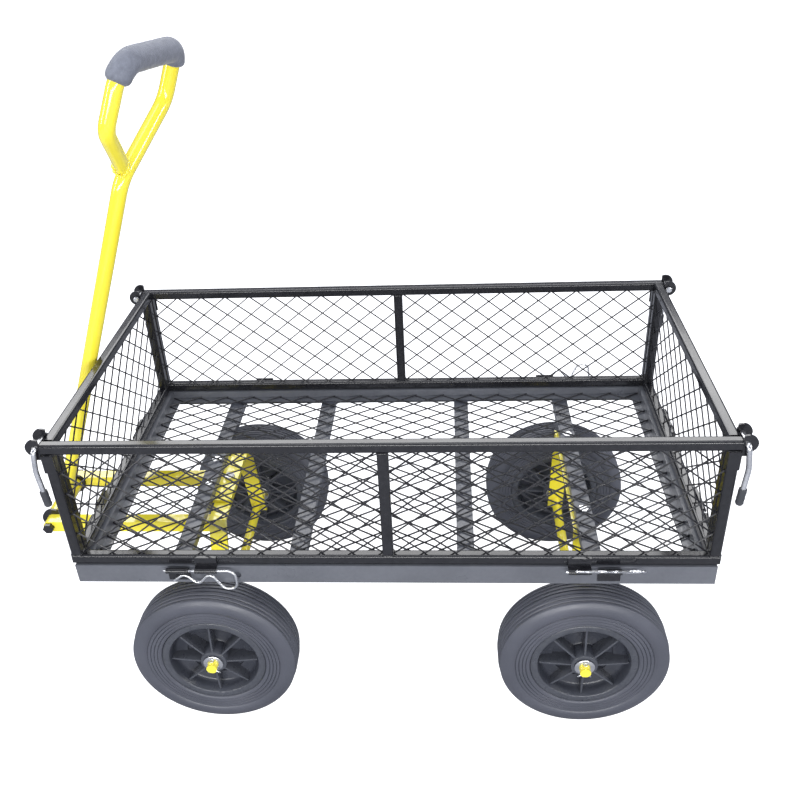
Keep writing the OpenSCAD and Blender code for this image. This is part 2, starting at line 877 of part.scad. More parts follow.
tray_rail_front();
tray_rail_rear();
tray_rail_left();
tray_rail_right();
deck_mesh();
cross_members();
tray_hinge_knuckles();
left_panel_frame();
left_panel_mesh();
left_panel_fittings();
right_panel_frame();
right_panel_mesh();
right_panel_fittings();
rear_panel_frame();
rear_panel_mesh();
rear_panel_fittings();
front_panel_frame();
front_panel_mesh();
front_panel_fittings();
latch_rod_front_left();
latch_rod_front_right();
latch_rod_rear_left();
latch_rod_rear_right();
latch_grip_front_left();
latch_grip_front_right();
latch_grip_rear_left();
latch_grip_rear_right();
clip_left_front();
clip_left_rear();
clip_right_front();
clip_right_rear();
clip_rear_left();
clip_rear_right();
front_panel_clips();
rear_bracket();
rear_axle();
rear_axle_washers();
bracket_bolts();
swivel_plate();
king_bolt();
front_bracket();
front_axle();
front_axle_washers();
tongue_arms();
tongue_bolt();
handle_tube();
handle_grip();
handle_sleeve();
tyre_front_left();
tyre_front_right();
tyre_rear_left();
tyre_rear_right();
rim_front_left();
rim_front_right();
rim_rear_left();
rim_rear_right();
bush_front_left();
bush_front_right();
bush_rear_left();
bush_rear_right();
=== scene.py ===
import math

import bpy
from mathutils import Matrix, Vector, noise


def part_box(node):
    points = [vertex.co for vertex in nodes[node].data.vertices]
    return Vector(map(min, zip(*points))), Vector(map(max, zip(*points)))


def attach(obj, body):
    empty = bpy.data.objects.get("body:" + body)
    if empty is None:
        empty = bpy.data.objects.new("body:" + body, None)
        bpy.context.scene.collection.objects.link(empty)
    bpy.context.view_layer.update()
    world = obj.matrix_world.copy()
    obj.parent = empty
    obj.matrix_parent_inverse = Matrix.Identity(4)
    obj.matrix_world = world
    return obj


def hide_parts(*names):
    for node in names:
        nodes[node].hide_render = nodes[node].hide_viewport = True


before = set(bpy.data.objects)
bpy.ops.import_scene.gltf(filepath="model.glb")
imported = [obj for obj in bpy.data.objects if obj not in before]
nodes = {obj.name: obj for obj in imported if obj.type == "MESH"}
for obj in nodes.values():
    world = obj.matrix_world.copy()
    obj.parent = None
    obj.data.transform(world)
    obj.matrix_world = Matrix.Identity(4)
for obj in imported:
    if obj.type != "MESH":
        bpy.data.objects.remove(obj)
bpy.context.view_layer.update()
scene = bpy.context.scene
cartX = 0.0565  # middle of the tray along the cart
print("frame loaded")


def addNode(tree, kind, inputs=None, **settings):
    node = tree.nodes.new(kind)
    for key, value in settings.items():
        setattr(node, key, value)
    for key, value in (inputs or {}).items():
        if isinstance(value, bpy.types.NodeSocket):
            tree.links.new(value, node.inputs[key])
        else:
            node.inputs[key].default_value = value
    return node


# camera and studio

cameraSettings = {
    "place": (0.14297, -1.15980, 1.17876), "pitch": 0.537628, "yaw": -0.080080,
    "roll": -0.052768, "lens": 39.742, "shiftX": 0.0151, "shiftY": -0.0245,
}


def addCamera(c):
    cp, sp = math.cos(c["pitch"]), math.sin(c["pitch"])
    cy, sy = math.cos(c["yaw"]), math.sin(c["yaw"])
    forward = Vector((sy * cp, cy * cp, -sp))
    level = Vector((cy, -sy, 0))
    over = level.cross(forward)
    right = level * math.cos(c["roll"]) + over * math.sin(c["roll"])
    up = over * math.cos(c["roll"]) - level * math.sin(c["roll"])
    data = bpy.data.cameras.new("studioCamera")
    data.sensor_width, data.lens = 36, c["lens"]
    data.shift_x, data.shift_y = c["shiftX"], c["shiftY"]
    data.clip_end = 100
    cam = bpy.data.objects.new("studioCamera", data)
    turn = Matrix((right, up, -forward)).transposed().to_4x4()
    cam.matrix_world = Matrix.Translation(c["place"]) @ turn
    scene.collection.objects.link(cam)
    scene.camera = cam


addCamera(cameraSettings)

studioSettings = {
    "floorSize": 60, "floorColour": (0.30, 0.31, 0.34), "floorGlow": 1.2,
    "skyColours": [(0.0, (0.25, 0.26, 0.29)), (0.60, (0.20, 0.21, 0.25)),
                   (0.82, (0.24, 0.25, 0.31)), (0.92, (0.75, 0.78, 0.88)),
                   (1.0, (1.2, 1.24, 1.34))],
    "skyStrength": 1.0, "skySeen": (1.05, 1.05, 1.05), "floorRough": 0.85,
}
lampSettings = {
    # place, aim, size, watts
    "backBox": ((-0.19, 2.4, 2.37), (0.05, -0.1, 0.45), (4.2, 0.9), 62),
    "overhead": ((0.2, -0.3, 3.2), (0.05, 0, 0.3), (2.6, 0.6), 16),
    "lowFill": ((0.1, -2.5, 0.8), (0.05, 0, 0.22), (3.0, 0.5), 66),
    "leftStrip": ((-2.6, -1.0, 1.6), (0, 0, 0.3), (0.4, 1.6), 32),
    "rightStrip": ((2.7, -0.8, 1.5), (0, 0, 0.3), (0.4, 1.6), 32),
}


def addLamp(name, place, aim, size, watts):
    data = bpy.data.lights.new(name, "AREA")
    data.shape = "RECTANGLE"
    data.size, data.size_y = size
    data.energy = watts
    lamp = bpy.data.objects.new(name, data)
    direction = Vector(aim) - Vector(place)
    lamp.matrix_world = (Matrix.Translation(place)
                         @ direction.to_track_quat("-Z", "Y").to_matrix().to_4x4())
    scene.collection.objects.link(lamp)


def addSky(s):
    # graded from the ground up; the camera itself sees it plain white
    world = bpy.data.worlds.new("studioWorld")
    scene.world = world
    world.use_nodes = True
    tree = world.node_tree
    way = addNode(tree, "ShaderNodeTexCoord")
    split = addNode(tree, "ShaderNodeSeparateXYZ", {0: way.outputs["Generated"]})
    height = addNode(tree, "ShaderNodeMapRange", {
        "Value": split.outputs["Z"], "From Min": -1})
    shade = addNode(tree, "ShaderNodeValToRGB", {"Fac": height.outputs["Result"]})
    stops = shade.color_ramp.elements
    while len(stops) < len(s["skyColours"]):
        stops.new(0.5)
    for stop, (at, colour) in zip(stops, s["skyColours"]):
        stop.position, stop.color = at, (*colour, 1)
    ray = addNode(tree, "ShaderNodeLightPath")
    pale = addNode(tree, "ShaderNodeMix", {
        0: ray.outputs["Is Camera Ray"], 6: shade.outputs["Color"], 7: (*s["skySeen"], 1)},
        data_type="RGBA")
    sky = tree.nodes["Background"]
    sky.inputs["Strength"].default_value = s["skyStrength"]
    tree.links.new(pale.outputs[2], sky.inputs["Color"])


def addFloor(s):
    half = s["floorSize"] / 2
    mesh = bpy.data.meshes.new("studioFloor")
    mesh.from_pydata([(-half, -half, 0), (half, -half, 0), (half, half, 0), (-half, half, 0)],
                     [], [(0, 1, 2, 3)])
    floor = bpy.data.objects.new("studioFloor", mesh)
    scene.collection.objects.link(floor)
    paper = bpy.data.materials.new("studioPaper")
    paper.use_nodes = True
    tree = paper.node_tree
    skin = tree.nodes["Principled BSDF"]
    skin.inputs["Base Color"].default_value = (*s["floorColour"], 1)
    skin.inputs["Roughness"].default_value = s["floorRough"]
    skin.inputs["Emission Color"].default_value = (1, 1, 1, 1)
    ray = addNode(tree, "ShaderNodeLightPath")
    glow = addNode(tree, "ShaderNodeMath", {
        0: ray.outputs["Is Camera Ray"], 1: s["floorGlow"]}, operation="MULTIPLY")
    tree.links.new(glow.outputs[0], skin.inputs["Emission Strength"])
    mesh.materials.append(paper)


scene.view_settings.view_transform = "Standard"
addSky(studioSettings)
addFloor(studioSettings)
for lampName, lamp in lampSettings.items():
    addLamp(lampName, *lamp)
print("studio ready")


# shared effects, as node groups

def newGroup(name, inputs, outputs):
    group = bpy.data.node_groups.new(name, "ShaderNodeTree")
    for label, kind, value in inputs:
        socket = group.interface.new_socket(label, in_out="INPUT", socket_type=kind)
        socket.default_value = value
    for label, kind in outputs:
        group.interface.new_socket(label, in_out="OUTPUT", socket_type=kind)
    return group, group.nodes.new("NodeGroupInput"), group.nodes.new("NodeGroupOutput")


number = "NodeSocketFloat"


def makeMottle():
    # soft blotches between two values, for colour and roughness
    group, given, result = newGroup(
        "mottle", [("Scale", number, 20), ("Low", number, 0), ("High", number, 1)],
        [("Value", number)])
    place = addNode(group, "ShaderNodeTexCoord")
    cloud = addNode(group, "ShaderNodeTexNoise", {
        "Vector": place.outputs["Object"], "Scale": given.outputs["Scale"], "Detail": 4})
    spread = addNode(group, "ShaderNodeMapRange", {
        "Value": cloud.outputs["Fac"], "From Min": 0.3, "From Max": 0.7,
        "To Min": given.outputs["Low"], "To Max": given.outputs["High"]})
    group.links.new(spread.outputs["Result"], result.inputs["Value"])
    return group


def makeGrain():
    # fine bumps: orange peel of enamel, skin of moulded parts, cells of foam
    group, given, result = newGroup(
        "grain", [("Fine Scale", number, 600), ("Cell Scale", number, 300),
                  ("Cell Share", number, 0.3)],
        [("Height", number)])
    place = addNode(group, "ShaderNodeTexCoord")
    fine = addNode(group, "ShaderNodeTexNoise", {
        "Vector": place.outputs["Object"], "Scale": given.outputs["Fine Scale"], "Detail": 3})
    cells = addNode(group, "ShaderNodeTexVoronoi", {
        "Vector": place.outputs["Object"], "Scale": given.outputs["Cell Scale"]})
    both = addNode(group, "ShaderNodeMix", {
        "Factor": given.outputs["Cell Share"], "A": fine.outputs["Fac"],
        "B": cells.outputs["Distance"]}, data_type="FLOAT")
    group.links.new(both.outputs["Result"], result.inputs["Height"])
    return group


def makeEdgeWear():
    # bright worn mask on sharp edges, broken up by noise
    group, given, result = newGroup(
        "edgeWear", [("Reach", number, 0.06), ("Amount", number, 0.5)], [("Mask", number)])
    shape = addNode(group, "ShaderNodeNewGeometry")
    place = addNode(group, "ShaderNodeTexCoord")
    breakUp = addNode(group, "ShaderNodeTexNoise", {
        "Vector": place.outputs["Object"], "Scale": 180, "Detail": 5})
    start = addNode(group, "ShaderNodeMath", {0: 0.5, 1: given.outputs["Reach"]},
                    operation="ADD")
    edge = addNode(group, "ShaderNodeMapRange", {
        "Value": shape.outputs["Pointiness"], "From Min": 0.5,
        "From Max": start.outputs[0], "To Min": 0, "To Max": 1})
    rough = addNode(group, "ShaderNodeMath", {
        0: edge.outputs["Result"], 1: breakUp.outputs["Fac"]}, operation="MULTIPLY")
    scaled = addNode(group, "ShaderNodeMath", {
        0: rough.outputs[0], 1: given.outputs["Amount"]}, operation="MULTIPLY", use_clamp=True)
    group.links.new(scaled.outputs[0], result.inputs["Mask"])
    return group


def makeDust():
    # a thin film that settles on faces that look up
    group, given, result = newGroup(
        "dust", [("Amount", number, 0.2), ("Scale", number, 25)], [("Mask", number)])
    shape = addNode(group, "ShaderNodeNewGeometry")
    axes = addNode(group, "ShaderNodeSeparateXYZ", {0: shape.outputs["Normal"]})
    up = addNode(group, "ShaderNodeMapRange", {
        "Value": axes.outputs["Z"], "From Min": -0.2, "From Max": 1, "To Min": 0, "To Max": 1})
    place = addNode(group, "ShaderNodeTexCoord")
    cloud = addNode(group, "ShaderNodeTexNoise", {
        "Vector": place.outputs["Object"], "Scale": given.outputs["Scale"], "Detail": 6})
    film = addNode(group, "ShaderNodeMath", {
        0: up.outputs["Result"], 1: cloud.outputs["Fac"]}, operation="MULTIPLY")
    scaled = addNode(group, "ShaderNodeMath", {
        0: film.outputs[0], 1: given.outputs["Amount"]}, operation="MULTIPLY", use_clamp=True)
    group.links.new(scaled.outputs[0], result.inputs["Mask"])
    return group


mottle, grain, edgeWear, dust = makeMottle(), makeGrain(), makeEdgeWear(), makeDust()

# finishes: tones are the two ends of the colour mottle, peel is the bump's depth in metres
finishes = {
    "blackEnamel": {
        "tones": ((0.0025, 0.0027, 0.004), (0.0045, 0.0048, 0.007)), "toneScale": 9,
        "rough": (0.14, 0.22), "roughScale": 14, "peel": 0.00002, "fine": 300, "cell": 150,
        "share": 0.1, "edge": (0.05, 0.10), "edgeTone": (0.2, 0.2, 0.22),
        "dust": 0.0, "dustTone": (0.21, 0.22, 0.25), "coat": 0.12, "coatRough": 0.05},
    "wireEnamel": {
        "tones": ((0.004, 0.004, 0.006), (0.008, 0.008, 0.011)), "toneScale": 60,
        "rough": (0.30, 0.42), "roughScale": 40, "peel": 0.00003, "fine": 600, "cell": 300,
        "share": 0.1, "edge": (0.05, 0.05), "edgeTone": (0.1, 0.1, 0.12),
        "dust": 0.03, "dustTone": (0.16, 0.17, 0.2), "coat": 0.3, "coatRough": 0.2},
    "trayEnamel": {
        "tones": ((0.075, 0.081, 0.095), (0.105, 0.112, 0.13)), "toneScale": 11,
        "rough": (0.26, 0.36), "roughScale": 18, "peel": 0.00004, "fine": 520, "cell": 260,
        "share": 0.15, "edge": (0.05, 0.16), "edgeTone": (0.3, 0.3, 0.32),
        "dust": 0.06, "dustTone": (0.2, 0.21, 0.24), "coat": 0.5, "coatRough": 0.12},
    "memberEnamel": {
        "tones": ((0.026, 0.030, 0.042), (0.044, 0.050, 0.068)), "toneScale": 13,
        "rough": (0.34, 0.46), "roughScale": 20, "peel": 0.00006, "fine": 520, "cell": 260,
        "share": 0.15, "edge": (0.05, 0.14), "edgeTone": (0.3, 0.3, 0.32),
        "dust": 0.12, "dustTone": (0.2, 0.22, 0.26), "coat": 0.3, "coatRough": 0.2},
    "yellowEnamel": {
        "tones": ((0.95, 0.80, 0.035), (1.0, 0.88, 0.07)), "toneScale": 8,
        "rough": (0.14, 0.22), "roughScale": 12, "peel": 0.00003, "fine": 300, "cell": 150,
        "share": 0.1, "edge": (0.05, 0.12), "edgeTone": (0.55, 0.42, 0.05),
        "dust": 0.04, "dustTone": (0.7, 0.62, 0.3), "coat": 0.8, "coatRough": 0.08},
    "zincPlate": {
        "tones": ((0.60, 0.61, 0.63), (0.78, 0.79, 0.80)), "toneScale": 60,
        "rough": (0.22, 0.40), "roughScale": 90, "peel": 0.00003, "fine": 900, "cell": 500,
        "share": 0.4, "edge": (0.06, 0.3), "edgeTone": (0.9, 0.9, 0.9),
        "dust": 0.05, "dustTone": (0.4, 0.4, 0.4), "metal": 1.0},
    "foam": {
        "tones": ((0.12, 0.13, 0.165), (0.18, 0.195, 0.24)), "toneScale": 130,
        "rough": (0.62, 0.8), "roughScale": 60, "peel": 0.0005, "fine": 700, "cell": 480,
        "share": 0.7, "edge": (0.08, 0.1), "edgeTone": (0.25, 0.27, 0.3),
        "dust": 0.35, "dustTone": (0.38, 0.41, 0.48), "sheen": 0.25},
    "vinyl": {
        "tones": ((0.024, 0.026, 0.031), (0.042, 0.045, 0.052)), "toneScale": 40,
        "rough": (0.38, 0.5), "roughScale": 50, "peel": 0.0001, "fine": 800, "cell": 400,
        "share": 0.3, "edge": (0.06, 0.1), "edgeTone": (0.2, 0.2, 0.22),
        "dust": 0.1, "dustTone": (0.25, 0.26, 0.28)},
    "tyreRubber": {
        "tones": ((0.060, 0.064, 0.080), (0.080, 0.084, 0.104)), "toneScale": 12,
        "rough": (0.34, 0.5), "roughScale": 30, "peel": 0.00012, "fine": 500, "cell": 300,
        "share": 0.3, "edge": (0.05, 0.2), "edgeTone": (0.16, 0.165, 0.18),
        "dust": 0.22, "dustTone": (0.15, 0.16, 0.19)},
    "rimPlastic": {
        "tones": ((0.030, 0.033, 0.043), (0.048, 0.052, 0.066)), "toneScale": 16,
        "rough": (0.24, 0.34), "roughScale": 40, "peel": 0.00008, "fine": 700, "cell": 420,
        "share": 0.35, "edge": (0.05, 0.22), "edgeTone": (0.22, 0.23, 0.25),
        "dust": 0.15, "dustTone": (0.14, 0.15, 0.17)},
}


def makeFinish(name, f):
    made = bpy.data.materials.new(name)
    made.use_nodes = True
    tree = made.node_tree
    skin = tree.nodes["Principled BSDF"]

    def effect(group, values):
        node = tree.nodes.new("ShaderNodeGroup")
        node.node_tree = group
        for key, value in values.items():
            node.inputs[key].default_value = value
        return node

    def blend(mask, under, over):
        node = addNode(tree, "ShaderNodeMix", {0: mask, 6: under, 7: over}, data_type="RGBA")
        return node.outputs[2]

    tone = effect(mottle, {"Scale": f["toneScale"], "Low": 0, "High": 1})
    base = blend(tone.outputs["Value"], (*f["tones"][0], 1), (*f["tones"][1], 1))
    film = effect(dust, {"Amount": f["dust"], "Scale": f["roughScale"]})
    dusty = blend(film.outputs["Mask"], base, (*f["dustTone"], 1))
    wear = effect(edgeWear, {"Reach": f["edge"][0], "Amount": f["edge"][1]})
    worn = blend(wear.outputs["Mask"], dusty, (*f["edgeTone"], 1))
    tree.links.new(worn, skin.inputs["Base Color"])
    rough = effect(mottle, {
        "Scale": f["roughScale"], "Low": f["rough"][0], "High": f["rough"][1]})
    tree.links.new(rough.outputs["Value"], skin.inputs["Roughness"])
    skinGrain = effect(grain, {
        "Fine Scale": f["fine"], "Cell Scale": f["cell"], "Cell Share": f["share"]})
    bump = addNode(tree, "ShaderNodeBump", {
        "Strength": 1.0, "Distance": f["peel"], "Height": skinGrain.outputs["Height"]})
    tree.links.new(bump.outputs["Normal"], skin.inputs["Normal"])
    skin.inputs["Metallic"].default_value = f.get("metal", 0)
    skin.inputs["Coat Weight"].default_value = f.get("coat", 0)
    skin.inputs["Coat Roughness"].default_value = f.get("coatRough", 0.05)
    skin.inputs["Sheen Weight"].default_value = f.get("sheen", 0)
    return made


material = {name: makeFinish(name, f) for name, f in finishes.items()}
print("materials ready")


# drawing tools

class Shape:
    # collects tubes, turned forms and plates, then makes one mesh piece of them

    def __init__(self):
        self.points, self.faces = [], []

    def add(self, points, faces):
        start = len(self.points)
        self.points += [tuple(p) for p in points]
        self.faces += [tuple(start + i for i in f) for f in faces]

    def tube(self, path, radius, sides=8, domed=0.0):
        # radius is one number or one for each point; domed rounds the ends off
        path = [Vector(p) for p in path]
        radii = list(radius) if hasattr(radius, "__len__") else [radius] * len(path)
        if domed:
            first = (path[0] - path[1]).normalized() * domed
            last = (path[-1] - path[-2]).normalized() * domed
            path = [path[0] + first, path[0] + first * 0.6, *path,
                    path[-1] + last * 0.6, path[-1] + last]
            radii = [radii[0] * 0.35, radii[0] * 0.8, *radii, radii[-1] * 0.8, radii[-1] * 0.35]
        n = len(path)
        heads = [(path[min(i + 1, n - 1)] - path[max(i - 1, 0)]).normalized() for i in range(n)]
        side = heads[0].orthogonal().normalized()
        points = []
        for i in range(n):
            side = (side - heads[i] * side.dot(heads[i])).normalized()
            other = heads[i].cross(side)
            for j in range(sides):
                a = 2 * math.pi * j / sides
                points.append(path[i] + (side * math.cos(a) + other * math.sin(a)) * radii[i])
        faces = [(i * sides + j, i * sides + (j + 1) % sides,
                  (i + 1) * sides + (j + 1) % sides, (i + 1) * sides + j)
                 for i in range(n - 1) for j in range(sides)]
        faces.append(tuple(range(sides - 1, -1, -1)))
        faces.append(tuple((n - 1) * sides + j for j in range(sides)))
        self.add(points, faces)

    def turned(self, profile, centre, axis, steps=48, closed=False):
        # profile is (radius, height along axis); closed joins its last point to its first
        axis = Vector(axis).normalized()
        side = axis.orthogonal().normalized()
        other = axis.cross(side)
        m = len(profile)
        points = []
        for k in range(steps):
            a = 2 * math.pi * k / steps
            out = side * math.cos(a) + other * math.sin(a)
            points += [Vector(centre) + out * r + axis * h for r, h in profile]
        faces = []
        for k in range(steps):
            k2 = (k + 1) % steps
            for i in range(m if closed else m - 1):
                i2 = (i + 1) % m
                faces.append((k * m + i, k2 * m + i, k2 * m + i2, k * m + i2))
        if not closed:
            for i in (0, m - 1):
                if profile[i][0] > 1e-6:
                    loop = [k * m + i for k in range(steps)]
                    faces.append(tuple(loop if i else loop[::-1]))
        self.add(points, faces)

    def blob(self, centre, size):
        # small rounded lump; size is its three half lengths
        rings, sides = 4, 6
        points = [Vector(centre) + Vector((0, 0, -size[2]))]
        for i in range(1, rings):
            t = math.pi * i / rings
            for j in range(sides):
                a = 2 * math.pi * j / sides
                points.append(Vector(centre) + Vector((
                    size[0] * math.sin(t) * math.cos(a), size[1] * math.sin(t) * math.sin(a),
                    -size[2] * math.cos(t))))
        points.append(Vector(centre) + Vector((0, 0, size[2])))
        top = len(points) - 1
        faces = [(0, 1 + (j + 1) % sides, 1 + j) for j in range(sides)]
        for i in range(rings - 2):
            a, b = 1 + i * sides, 1 + (i + 1) * sides
            faces += [(a + j, a + (j + 1) % sides, b + (j + 1) % sides, b + j)
                      for j in range(sides)]
        last = 1 + (rings - 2) * sides
        faces += [(last + j, last + (j + 1) % sides, top) for j in range(sides)]
        self.add(points, faces)

    def plate(self, low, high):
        x0, y0, z0 = low
        x1, y1, z1 = high
        self.add([(x0, y0, z0), (x1, y0, z0), (x1, y1, z0), (x0, y1, z0),
                  (x0, y0, z1), (x1, y0, z1), (x1, y1, z1), (x0, y1, z1)],
                 [(0, 3, 2, 1), (4, 5, 6, 7), (0, 1, 5, 4), (1, 2, 6, 5), (2, 3, 7, 6),
                  (3, 0, 4, 7)])

    def make(self, name, finish, body, replaced=(), turn=None, sharp=38, bevel=0.0):
        mesh = bpy.data.meshes.new(name)
        mesh.from_pydata(self.points, [], self.faces)
        if turn is not None:
            mesh.transform(turn)
            if turn.determinant() < 0:
                mesh.flip_normals()
        mesh.polygons.foreach_set("use_smooth", [True] * len(mesh.polygons))
        mesh.set_sharp_from_angle(angle=math.radians(sharp))
        mesh.materials.append(material[finish])
        piece = bpy.data.objects.new(name, mesh)
        scene.collection.objects.link(piece)
        if bevel:
            roundEdges(piece, bevel)
        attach(piece, body)
        if replaced:
            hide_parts(*replaced)
        return piece


def roundEdges(piece, width, segments=2):
    bevel = piece.modifiers.new("roundEdges", "BEVEL")
    bevel.width, bevel.segments = width, segments
    bevel.limit_method, bevel.angle_limit = "ANGLE", math.radians(40)
    bevel.harden_normals = True


def roundedPath(corners, bends, step=12):
    # points along straight runs joined by arcs; bends gives each corner's radius
    corners = [Vector(c) for c in corners]
    path = [corners[0]]
    for i in range(1, len(corners) - 1):
        back = (corners[i - 1] - corners[i]).normalized()
        ahead = (corners[i + 1] - corners[i]).normalized()
        turn = math.pi - back.angle(ahead)
        if turn < 1e-3 or bends[i] == 0:
            path.append(corners[i])
            continue
        cut = bends[i] * math.tan(turn / 2)
        middle = (back + ahead).normalized()
        centre = corners[i] + middle * (bends[i] / math.cos(turn / 2))
        start = corners[i] + back * cut - centre
        normal = start.cross(corners[i] + ahead * cut - centre).normalized()
        count = max(2, math.ceil(math.degrees(turn) / step))
        for k in range(count + 1):
            path.append(centre + Matrix.Rotation(turn * k / count, 3, normal) @ start)
    path.append(corners[-1])
    return path


# wire mesh of the deck and the panels

wireSettings = {
    "deckRadius": 0.00125, "panelRadius": 0.00115, "sides": 6, "weldSpot": 0.0019,
    "deckCells": (17, 15), "longCells": (10, 5), "endCells": (10, 5), "bury": 0.002,
    "midPost": 0.0075,
}


def clipLine(origin, slope, size):
    # where the line through origin leaves the rectangle from (0, 0) to size
    hits = []
    for x in (0, size[0]):
        y = origin[1] + slope * (x - origin[0])
        if -1e-9 <= y <= size[1] + 1e-9:
            hits.append((x, y))
    for y in (0, size[1]):
        x = origin[0] + (y - origin[1]) / slope
        if 1e-9 < x < size[0] - 1e-9:
            hits.append((x, y))
    hits = sorted(set((round(x, 7), round(y, 7)) for x, y in hits))
    return (hits[0], hits[-1]) if len(hits) > 1 and hits[-1][0] - hits[0][0] > 0.004 else None


def layWires(shape, corner, along, up, size, cells, radius, w):
    # two layers of straight wires that cross and are welded where they touch
    along, up = Vector(along), Vector(up)
    out = along.cross(up)
    cell = (size[0] / cells[0], size[1] / cells[1])
    slope = cell[1] / cell[0]
    for layer, sign in ((0.42, 1), (-0.42, -1)):
        lift = out * radius * 2 * layer
        reach = range(-cells[1] - 1, cells[0] + cells[1] + 2)
        for k in reach:
            ends = clipLine((k * cell[0], 0), sign * slope, size)
            if not ends:
                continue
            a, b = [Vector(corner) + along * e[0] + up * e[1] + lift for e in ends]
            more = (b - a).normalized() * w["bury"]
            shape.tube([a - more, b + more], radius, w["sides"])
    lump = w["weldSpot"]
    spot = [abs(along[i]) * lump + abs(up[i]) * lump * 0.9 + abs(out[i]) * radius * 1.05
            for i in range(3)]
    for i in range(2 * cells[0] + 1):
        for j in range(2 * cells[1] + 1):
            if (i + j) % 2 == 0 and 0 < i < 2 * cells[0] and 0 < j < 2 * cells[1]:
                place = Vector(corner) + along * (i * cell[0] / 2) + up * (j * cell[1] / 2)
                shape.blob(place, spot)


def makeWireMesh(w):
    low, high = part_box("deck_mesh")
    deck = Shape()
    layWires(deck, (low.x, low.y, (low.z + high.z) / 2), (1, 0, 0), (0, 1, 0),
             (high.x - low.x, high.y - low.y), w["deckCells"], w["deckRadius"], w)
    deck.make("deckWires", "wireEnamel", "chassis", ["deck_mesh"])
    for side in ("left", "right"):
        low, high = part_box(side + "_panel_mesh")
        post = w["midPost"]
        middleY = (low.y + high.y) / 2
        panel = Shape()
        for x0, x1 in ((low.x, cartX - post), (cartX + post, high.x)):
            layWires(panel, (x0, middleY, low.z), (1, 0, 0), (0, 0, 1),
                     (x1 - x0, high.z - low.z), w["longCells"], w["panelRadius"], w)
        panel.make(side + "PanelWires", "wireEnamel", side + "_panel", [side + "_panel_mesh"])
    for end, body in (("front", "chassis"), ("rear", "rear_panel")):
        low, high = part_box(end + "_panel_mesh")
        panel = Shape()
        layWires(panel, ((low.x + high.x) / 2, low.y, low.z), (0, 1, 0), (0, 0, 1),
                 (high.y - low.y, high.z - low.z), w["endCells"], w["panelRadius"], w)
        panel.make(end + "PanelWires", "wireEnamel", body, [end + "_panel_mesh"])


makeWireMesh(wireSettings)
print("wire mesh laid")


# hinge clips

clipSettings = {
    "radius": 0.0018, "sides": 12, "turnedUp": 135,
    "corners": [(-3, 0), (98, 0), (98, -33), (79, -33), (62, -4), (43, -25), (25, -6), (9, -18)],
    "bends": [0, 12, 10, 11, 7, 7, 7, 0],
    "sideY": -0.251, "endX": -0.4585, "hingeZ": 0.3275,
    "alongSide": (-0.313, 0.246), "acrossEnd": (-0.150, 0.090),
}


def makeClips(c):
    path = roundedPath([(x / 1000, 0, z / 1000) for x, z in c["corners"]],
                       [b / 1000 for b in c["bends"]])
    up = Matrix.Rotation(-math.radians(c["turnedUp"]), 4, "X")
    swap = Matrix.Diagonal((1, -1, 1, 1))
    flip = Matrix.Diagonal((-1, 1, 1, 1))
    longHinge = Matrix.Translation((cartX, c["sideY"], c["hingeZ"]))
    endHinge = (Matrix.Translation((c["endX"], 0, c["hingeZ"]))
                @ Matrix.Rotation(-math.pi / 2, 4, "Z"))
    middle = Matrix.Translation((cartX, 0, 0))
    front, back = [Matrix.Translation((x, 0, 0)) for x in c["alongSide"]]
    first, second = [Matrix.Translation((x, 0, 0)) for x in c["acrossEnd"]]
    places = [
        ("leftFrontClip", "left_front_clip", "clip_left_front", longHinge @ front),
        ("leftRearClip", "left_rear_clip", "clip_left_rear", longHinge @ back @ up),
        ("rightFrontClip", "right_front_clip", "clip_right_front", swap @ longHinge @ front),
        ("rightRearClip", "right_rear_clip", "clip_right_rear", swap @ longHinge @ back @ up),
        ("rearLeftClip", "rear_left_clip", "clip_rear_left",
         middle @ flip @ endHinge @ second),
        ("rearRightClip", "rear_right_clip", "clip_rear_right",
         middle @ flip @ endHinge @ first),
        ("frontLeftClip", "chassis", "front_panel_clips", middle @ endHinge @ second),
        ("frontRightClip", "chassis", "front_panel_clips", middle @ endHinge @ first),
    ]
    for name, body, node, place in places:
        clip = Shape()
        clip.tube(path, c["radius"], c["sides"], domed=0.0012)
        clip.make(name, "zincPlate", body, [node], turn=place)


makeClips(clipSettings)
print("clips bent")


# corner latches

latchSettings = {
    "radius": 0.0036, "earX": 0.4555, "height": 0.531, "inner": 0.2085, "plane": 0.246,
    "lean": 8, "turn": 12, "upper": 0.034, "lower": 0.032, "grip": (0.0053, 0.025),
    "head": [(0, -0.0031), (0.0040, -0.003), (0.0049, -0.0022), (0.0049, -0.0004),
             (0.0042, 0.0003), (0, 0.0003)],
}


